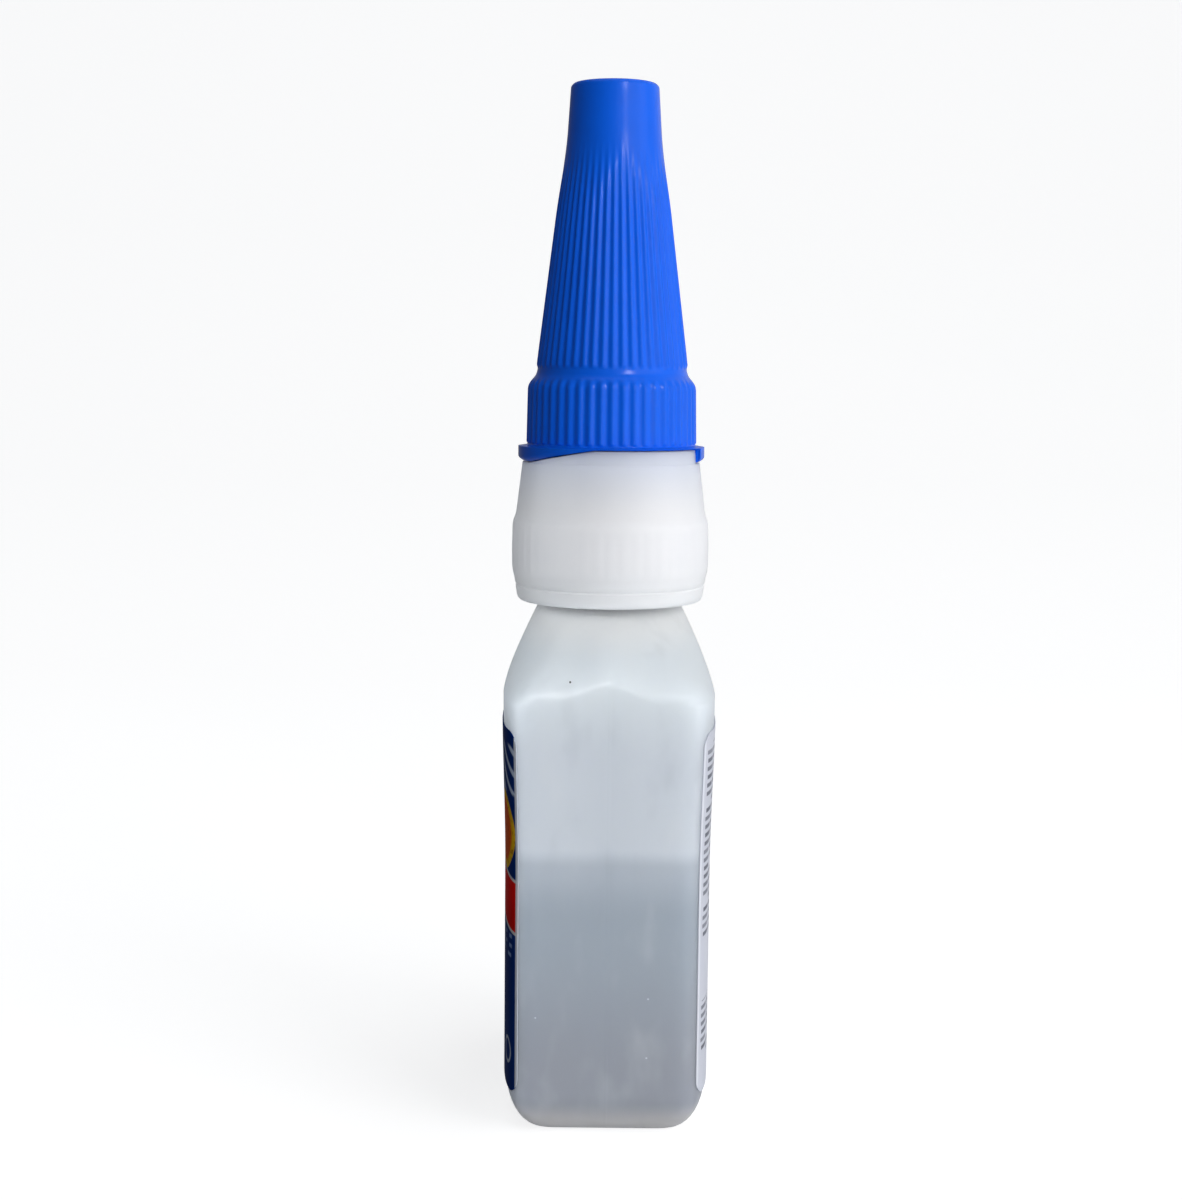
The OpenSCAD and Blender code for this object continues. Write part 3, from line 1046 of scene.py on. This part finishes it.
def seal_finish():
    """Soft white polyethylene with rings left by its mould."""
    board = Board("seal_plastic")
    cloud = board.noise(1.5, 2.0)
    ring = board.noise(0.3, 1.0, (30.0, 30.0, 1.0))
    colour = board.mix(cloud, (0.80, 0.80, 0.75), (0.88, 0.88, 0.84))
    return board.finish(
        {"Base Color": colour, "Roughness": 0.42 + cloud * 0.1, "Normal": board.bump(ring, 0.02, 0.4)}
    )


def steel_finish():
    """Drawn stainless wire."""
    board = Board("pin_steel")
    streak = board.noise(0.08, 2.0, (1.0, 1.0, 40.0))
    colour = board.mix(streak, (0.55, 0.56, 0.58), (0.70, 0.71, 0.73))
    return board.finish(
        {
            "Base Color": colour,
            "Metallic": 1.0,
            "Roughness": 0.22 + streak * 0.2,
            "Normal": board.bump(streak, 0.01, 0.4),
        }
    )


def studio_finish(looks):
    board = Board("studio_paper")
    cloud = board.noise(60.0, 3.0)
    colour = board.mix(cloud * 0.15, looks.floor, (0.47, 0.47, 0.475))
    return board.finish(
        {
            "Base Color": colour,
            "Roughness": 0.85,
            "Specular IOR Level": 0.1,
            "Emission Color": (1.0, 1.0, 1.0, 1.0),
            "Emission Strength": 0.72,
        }
    )


# ---- Operators ----


def settings(context):
    return context.scene.adhesive_bottle


class ADHESIVE_OT_bottle(bpy.types.Operator):
    """Makes the blown bottle and the adhesive inside it"""

    bl_idname = "adhesive.bottle"
    bl_label = "Bottle and Adhesive"

    def execute(self, context):
        group = settings(context)
        sizes = InMillimetres(group.bottle)
        bottle = build_bottle(sizes)
        fit(bottle, "bottle_body", ["bottle"], bottle_finish(group.looks, sizes))
        adhesive = build_adhesive(sizes)
        fit(adhesive, "bottle_body", ["glue_fill"], adhesive_finish())
        return {"FINISHED"}


class ADHESIVE_OT_labels(bpy.types.Operator):
    """Makes the front and back labels"""

    bl_idname = "adhesive.labels"
    bl_label = "Labels"

    def execute(self, context):
        group = settings(context)
        bottle = InMillimetres(group.bottle)
        sizes = InMillimetres(group.label)
        front = build_label(bottle, sizes, "front_label_film", -1, sizes.front_half)
        fit(front, "bottle_body", ["front_label"], front_finish(group.looks, sizes))
        back = build_label(bottle, sizes, "back_label_film", 1, sizes.back_half)
        fit(back, "bottle_body", ["back_label"], back_finish(group.looks, sizes))
        return {"FINISHED"}


class ADHESIVE_OT_nozzle(bpy.types.Operator):
    """Makes the collar, its threaded boss and the spout"""

    bl_idname = "adhesive.nozzle"
    bl_label = "Nozzle"

    def execute(self, context):
        group = settings(context)
        nozzle = build_nozzle(InMillimetres(group.nozzle), InMillimetres(group.cap))
        fit(nozzle, "bottle_body", ["nozzle"], nozzle_finish(group.looks))
        return {"FINISHED"}


class ADHESIVE_OT_cap(bpy.types.Operator):
    """Makes the ribbed cap"""

    bl_idname = "adhesive.cap"
    bl_label = "Cap"

    def execute(self, context):
        group = settings(context)
        cap = build_cap(InMillimetres(group.cap))
        fit(cap, "cap_body", ["cap"], cap_finish(group.looks))
        return {"FINISHED"}


class ADHESIVE_OT_seal(bpy.types.Operator):
    """Dresses the seal and the pin inside the cap, which keep their CAD meshes"""

    bl_idname = "adhesive.seal"
    bl_label = "Seal and Pin"

    def execute(self, context):
        finishes = {"tip_seal": seal_finish(), "sealing_pin": steel_finish()}
        for name, finish in finishes.items():
            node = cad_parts[name]
            node.data.materials.clear()
            node.data.materials.append(finish)
        return {"FINISHED"}


def add_light(name, place, target, size, power, colour):
    data = bpy.data.lights.new(name, "AREA")
    data.shape = "RECTANGLE"
    data.size = size[0]
    data.size_y = size[1]
    data.energy = power
    data.color = colour
    light = bpy.data.objects.new(name, data)
    light.location = place
    aim = Vector(target) - Vector(place)
    light.rotation_euler = aim.to_track_quat("-Z", "Y").to_euler()
    bpy.context.scene.collection.objects.link(light)
    return light


def light_only(light, names):
    """Lets a light fall on the named pieces alone."""
    lit = bpy.data.collections.new(light.name + "_lit")
    for name in names:
        lit.objects.link(bpy.data.objects[name])
    light.light_linking.receiver_collection = lit


def studio_world():
    """Soft surrounding light that is brighter on the right, at +Y."""
    world = bpy.data.worlds.new("studio")
    world.use_nodes = True
    nodes = world.node_tree.nodes
    links = world.node_tree.links
    place = nodes.new("ShaderNodeTexCoord")
    parts = nodes.new("ShaderNodeSeparateXYZ")
    spread = nodes.new("ShaderNodeMapRange")
    spread.interpolation_type = "SMOOTHSTEP"
    for name, value in {"From Min": -0.7, "From Max": 0.9, "To Min": 0.12, "To Max": 0.75}.items():
        spread.inputs[name].default_value = value
    background = nodes["Background"]
    background.inputs["Color"].default_value = (0.93, 0.96, 1.0, 1.0)
    links.new(place.outputs["Generated"], parts.inputs[0])
    links.new(parts.outputs["Y"], spread.inputs["Value"])
    links.new(spread.outputs["Result"], background.inputs["Strength"])
    return world


def drawn_out(bm, reach, name, material):
    """Draws a line or a ring out into a sheet, in millimetres, and returns its object, in metres."""
    made = bmesh.ops.extrude_edge_only(bm, edges=bm.edges[:])["geom"]
    moved = [item for item in made if isinstance(item, bmesh.types.BMVert)]
    bmesh.ops.translate(bm, vec=reach, verts=moved)
    bmesh.ops.scale(bm, vec=(MM, MM, MM), verts=bm.verts[:])
    mesh = bpy.data.meshes.new(name)
    bm.to_mesh(mesh)
    bm.free()
    mesh.shade_smooth()
    mesh.materials.append(material)
    sheet = bpy.data.objects.new(name, mesh)
    bpy.context.scene.collection.objects.link(sheet)
    return sheet


class ADHESIVE_OT_stage(bpy.types.Operator):
    """Makes the pale floor and backdrop, the lights and the camera"""

    bl_idname = "adhesive.stage"
    bl_label = "Stage"

    def execute(self, context):
        group = settings(context)
        paper = studio_finish(group.looks)
        bm = bmesh.new()
        line = rounded([(4000.0, 0.0), (-900.0, 0.0), (-900.0, 1800.0)], {1: 600.0})
        verts = [bm.verts.new((point.x, -4000.0, point.y)) for point in line]
        for pair in zip(verts, verts[1:]):
            bm.edges.new(pair)
        sweep = drawn_out(bm, (0.0, 8000.0, 0.0), "studio_sweep", paper)
        bm = bmesh.new()
        bmesh.ops.create_circle(bm, segments=96, radius=3500.0)
        screen = drawn_out(bm, (0.0, 0.0, 4000.0), "studio_screen", paper)
        screen.visible_shadow = False
        # Neither one throws light or its reflection back at the bottle
        for piece in (sweep, screen):
            piece.visible_diffuse = False
            piece.visible_glossy = False

        key = add_light("key", (0.30, 0.34, 0.22), (0, 0, 0.06), (0.30, 0.30), 0.85, (1.0, 0.98, 0.96))
        key.visible_glossy = False
        add_light("side", (0.12, 0.45, 0.10), (0, 0, 0.06), (0.20, 0.40), 0.25, (1.0, 0.99, 0.98))
        front = add_light("front", (0.55, 0.13, 0.08), (0, 0, 0.06), (0.18, 0.30), 0.90, (0.97, 0.98, 1.0))
        front.visible_glossy = False
        add_light("top", (-0.05, 0.0, 0.60), (0, 0, 0.05), (0.50, 0.50), 0.45, (1.0, 1.0, 1.0))
        glint = add_light("glint", (0.36, -0.05, 0.42), (0, 0, 0.06), (0.10, 0.08), 0.6, (1.0, 1.0, 1.0))
        glint.visible_diffuse = False
        light_only(glint, ["squeeze_bottle"])
        spark = add_light("spark", (0.34, 0.17, 0.30), (0, 0, 0.08), (0.04, 0.12), 0.55, (1.0, 1.0, 1.0))
        spark.visible_diffuse = False
        light_only(spark, ["ribbed_cap"])
        # The milky plastic passes light through to its shaded side, which the cap doesn't do
        fill = add_light("fill", (0.09, -0.38, 0.08), (0, 0, 0.06), (0.4, 0.4), 0.80, (0.94, 0.97, 1.0))
        light_only(fill, ["squeeze_bottle", "nozzle_moulding"])
        lift = add_light("lift", (0.26, -0.24, 0.24), (0, 0, 0.05), (0.3, 0.3), 0.56, (0.94, 0.97, 1.0))
        light_only(lift, ["squeeze_bottle"])

        context.scene.world = studio_world()

        tilt = math.radians(6.72)
        data = bpy.data.cameras.new("camera")
        data.sensor_fit = "HORIZONTAL"
        data.sensor_width = 36.0
        data.lens = 36.0 * 1962 / 1182
        data.clip_start = 0.01
        camera = bpy.data.objects.new("camera", data)
        camera.location = (0.220, -0.0021, 0.082)
        look = Vector((-math.cos(tilt), 0.0, -math.sin(tilt))).to_track_quat("-Z", "Y")
        roll = Quaternion((0.0, 0.0, 1.0), math.radians(0.57))
        camera.rotation_mode = "QUATERNION"
        camera.rotation_quaternion = look @ roll
        context.scene.collection.objects.link(camera)
        context.scene.camera = camera
        context.scene.view_settings.view_transform = "Standard"
        return {"FINISHED"}


class ADHESIVE_PT_panel(bpy.types.Panel):
    """Lists the steps that make the bottle, with their sizes and colours"""

    bl_idname = "ADHESIVE_PT_panel"
    bl_label = "Adhesive Bottle"
    bl_space_type = "VIEW_3D"
    bl_region_type = "UI"
    bl_category = "Adhesive Bottle"

    def draw(self, context):
        group = settings(context)
        steps = {
            "adhesive.bottle": group.bottle,
            "adhesive.labels": group.label,
            "adhesive.nozzle": group.nozzle,
            "adhesive.cap": group.cap,
            "adhesive.seal": None,
            "adhesive.stage": group.looks,
        }
        for step, sizes in steps.items():
            box = self.layout.box()
            box.operator(step)
            if sizes:
                for name in sizes.__annotations__:
                    box.prop(sizes, name)


CLASSES = (
    BottleSizes,
    NozzleSizes,
    CapSizes,
    LabelSizes,
    BottleLooks,
    AdhesiveBottle,
    ADHESIVE_OT_bottle,
    ADHESIVE_OT_labels,
    ADHESIVE_OT_nozzle,
    ADHESIVE_OT_cap,
    ADHESIVE_OT_seal,
    ADHESIVE_OT_stage,
    ADHESIVE_PT_panel,
)


def register():
    for item in CLASSES:
        bpy.utils.register_class(item)
    bpy.types.Scene.adhesive_bottle = bpy.props.PointerProperty(type=AdhesiveBottle)


def unregister():
    del bpy.types.Scene.adhesive_bottle
    for item in reversed(CLASSES):
        bpy.utils.unregister_class(item)


def main():
    register()
    bpy.ops.adhesive.bottle()
    bpy.ops.adhesive.labels()
    bpy.ops.adhesive.nozzle()
    bpy.ops.adhesive.cap()
    bpy.ops.adhesive.seal()
    bpy.ops.adhesive.stage()


if __name__ == "__main__":
    main()
